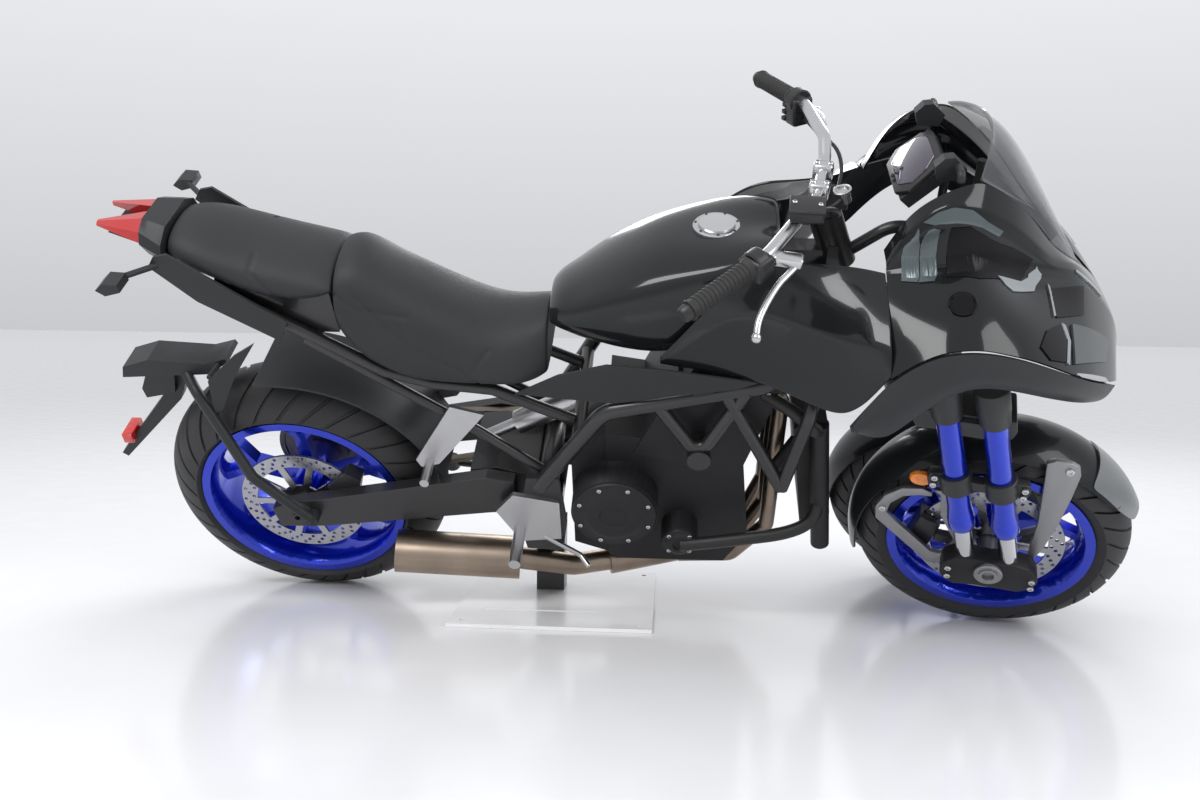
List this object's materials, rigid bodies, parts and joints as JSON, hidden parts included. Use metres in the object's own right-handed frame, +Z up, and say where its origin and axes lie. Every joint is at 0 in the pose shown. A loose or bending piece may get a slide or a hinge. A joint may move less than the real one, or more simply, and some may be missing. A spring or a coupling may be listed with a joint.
{
  "type": "motorized trike",
  "caption": "Leaning motorcycle with two front wheels on cross arms, wide half fairing and stepped seats, leaned over on the display column that holds it.",
  "frame": {"origin": "on the floor, under the middle of the whole object's box", "axes": "+X towards the front of the vehicle, +Y towards its left, +Z up; the vehicle leans to -Y"},
  "size_m": [2.2161, 1.174, 1.1954],
  "materials": {
    "tyre": "black rubber with road tread",
    "rim_blue": "gloss metallic blue",
    "disc_steel": "ground steel",
    "arm_black": "black cast arms",
    "fork_blue": "blue outer tubes, polished inner tubes, silver castings",
    "panel_matte": "grained dark plastic",
    "frame_black": "satin black paint",
    "engine_black": "black coated castings",
    "exhaust_steel": "heat-tinted steel",
    "chain_steel": "oiled steel",
    "alloy": "satin alloy",
    "body_gloss": "gloss charcoal metallic",
    "cap_alloy": "brushed alloy",
    "seat_vinyl": "textured charcoal vinyl",
    "lamp_red": "red lens",
    "screen": "smoked acrylic",
    "lamp_black": "black lamp housing with clear lens",
    "grip_rubber": "ribbed rubber",
    "stand_black": "satin black post on a white foot plate"
  },
  "bodies": {
    "chassis": {"frame": "frame_black", "subframe": "frame_black", "engine": "engine_black", "radiator": "frame_black", "exhaust": "exhaust_steel", "swingarm": "frame_black", "caliper_rear": "arm_black", "chain": "chain_steel", "rear_shock": "alloy", "fuel_tank": "body_gloss", "rider_seat": "seat_vinyl", "passenger_seat": "seat_vinyl", "tail_cowl": "panel_matte", "tail_lights": "lamp_red", "grab_rails": "frame_black", "plate_holder": "panel_matte", "hugger": "panel_matte", "side_panels": "panel_matte", "arch_bands": "panel_matte", "windscreen": "screen", "front_cowl": "body_gloss", "side_fairings": "body_gloss", "headlights": "lamp_black", "dash": "panel_matte", "mirrors": "panel_matte", "footrests": "alloy", "display_column": "stand_black"},
    "arm_upper": {"arm_upper": "arm_black"},
    "arm_lower": {"arm_lower": "arm_black"},
    "head_right": {"head_right": "arm_black"},
    "head_left": {"head_left": "arm_black"},
    "fork_right": {"fork_right": "fork_blue", "fender_front_right": "panel_matte", "caliper_front_right": "arm_black"},
    "fork_left": {"fork_left": "fork_blue", "fender_front_left": "panel_matte", "caliper_front_left": "arm_black"},
    "wheel_front_right": {"tyre_front_right": "tyre", "rim_front_right": "rim_blue", "disc_front_right": "disc_steel"},
    "wheel_front_left": {"tyre_front_left": "tyre", "rim_front_left": "rim_blue", "disc_front_left": "disc_steel"},
    "wheel_rear": {"tyre_rear": "tyre", "rim_rear": "rim_blue", "disc_rear": "disc_steel", "sprocket_rear": "chain_steel"},
    "handlebar": {"handlebar": "alloy", "controls": "grip_rubber"},
    "side_stand": {"side_stand": "frame_black"},
    "fuel_cap": {"fuel_cap": "cap_alloy"}
  },
  "joints": [
    {"name": "lean", "type": "hinge", "parent": "chassis", "child": "arm_upper", "pos_m": [0.52654, -0.13971, 0.70263], "axis": [1, 0, 0], "range_deg": [-10, 80]},
    {"name": "lean_lower_arm", "type": "hinge", "parent": "chassis", "child": "arm_lower", "pos_m": [0.5775, -0.05941, 0.58794], "axis": [1, 0, 0], "range_deg": [-10, 80]},
    {"name": "head_level_right", "type": "hinge", "parent": "arm_upper", "child": "head_right", "pos_m": [0.52654, -0.34471, 0.70263], "axis": [1, 0, 0], "range_deg": [-80, 10]},
    {"name": "head_level_left", "type": "hinge", "parent": "arm_upper", "child": "head_left", "pos_m": [0.52654, 0.06529, 0.70263], "axis": [1, 0, 0], "range_deg": [-80, 10]},
    {"name": "steer", "type": "hinge", "parent": "chassis", "child": "handlebar", "pos_m": [0.43392, -0.27234, 0.89204], "axis": [-0.342, -0.539, 0.7698], "range_deg": [-16.4, 39.6]},
    {"name": "fork_turn_right", "type": "hinge", "parent": "head_right", "child": "fork_right", "pos_m": [0.81201, -0.01778, 0.23571], "axis": [-0.342, -0.539, 0.7698], "range_deg": [-16.4, 39.6]},
    {"name": "fork_turn_left", "type": "hinge", "parent": "head_left", "child": "fork_left", "pos_m": [0.81201, 0.39222, 0.23571], "axis": [-0.342, -0.539, 0.7698], "range_deg": [-16.4, 39.6]},
    {"name": "roll_front_right", "type": "hinge", "parent": "fork_right", "child": "wheel_front_right", "pos_m": [0.83745, -0.02169, 0.23276], "axis": [0.189, 0.763, 0.6182], "continuous": true},
    {"name": "roll_front_left", "type": "hinge", "parent": "fork_left", "child": "wheel_front_left", "pos_m": [0.83745, 0.38831, 0.23276], "axis": [0.189, 0.763, 0.6182], "continuous": true},
    {"name": "roll_rear", "type": "hinge", "parent": "chassis", "child": "wheel_rear", "pos_m": [-0.67208, 0.15641, 0.27972], "axis": [0, 0.8192, 0.5736], "continuous": true},
    {"name": "side_stand", "type": "hinge", "parent": "chassis", "child": "side_stand", "pos_m": [-0.10608, 0.35249, 0.28212], "axis": [0, 0.8192, 0.5736], "range_deg": [-105, 0]},
    {"name": "fuel_cap", "type": "hinge", "parent": "chassis", "child": "fuel_cap", "pos_m": [0.28192, -0.2385, 0.84371], "axis": [0, 0.8192, 0.5736], "range_deg": [0, 95]}
  ],
  "couplings": [
    {"joint": "lean_lower_arm", "follows": "lean", "ratio": 1},
    {"joint": "head_level_right", "follows": "lean", "ratio": -1},
    {"joint": "head_level_left", "follows": "lean", "ratio": -1},
    {"joint": "fork_turn_right", "follows": "steer", "ratio": 1},
    {"joint": "fork_turn_left", "follows": "steer", "ratio": 1}
  ]
}
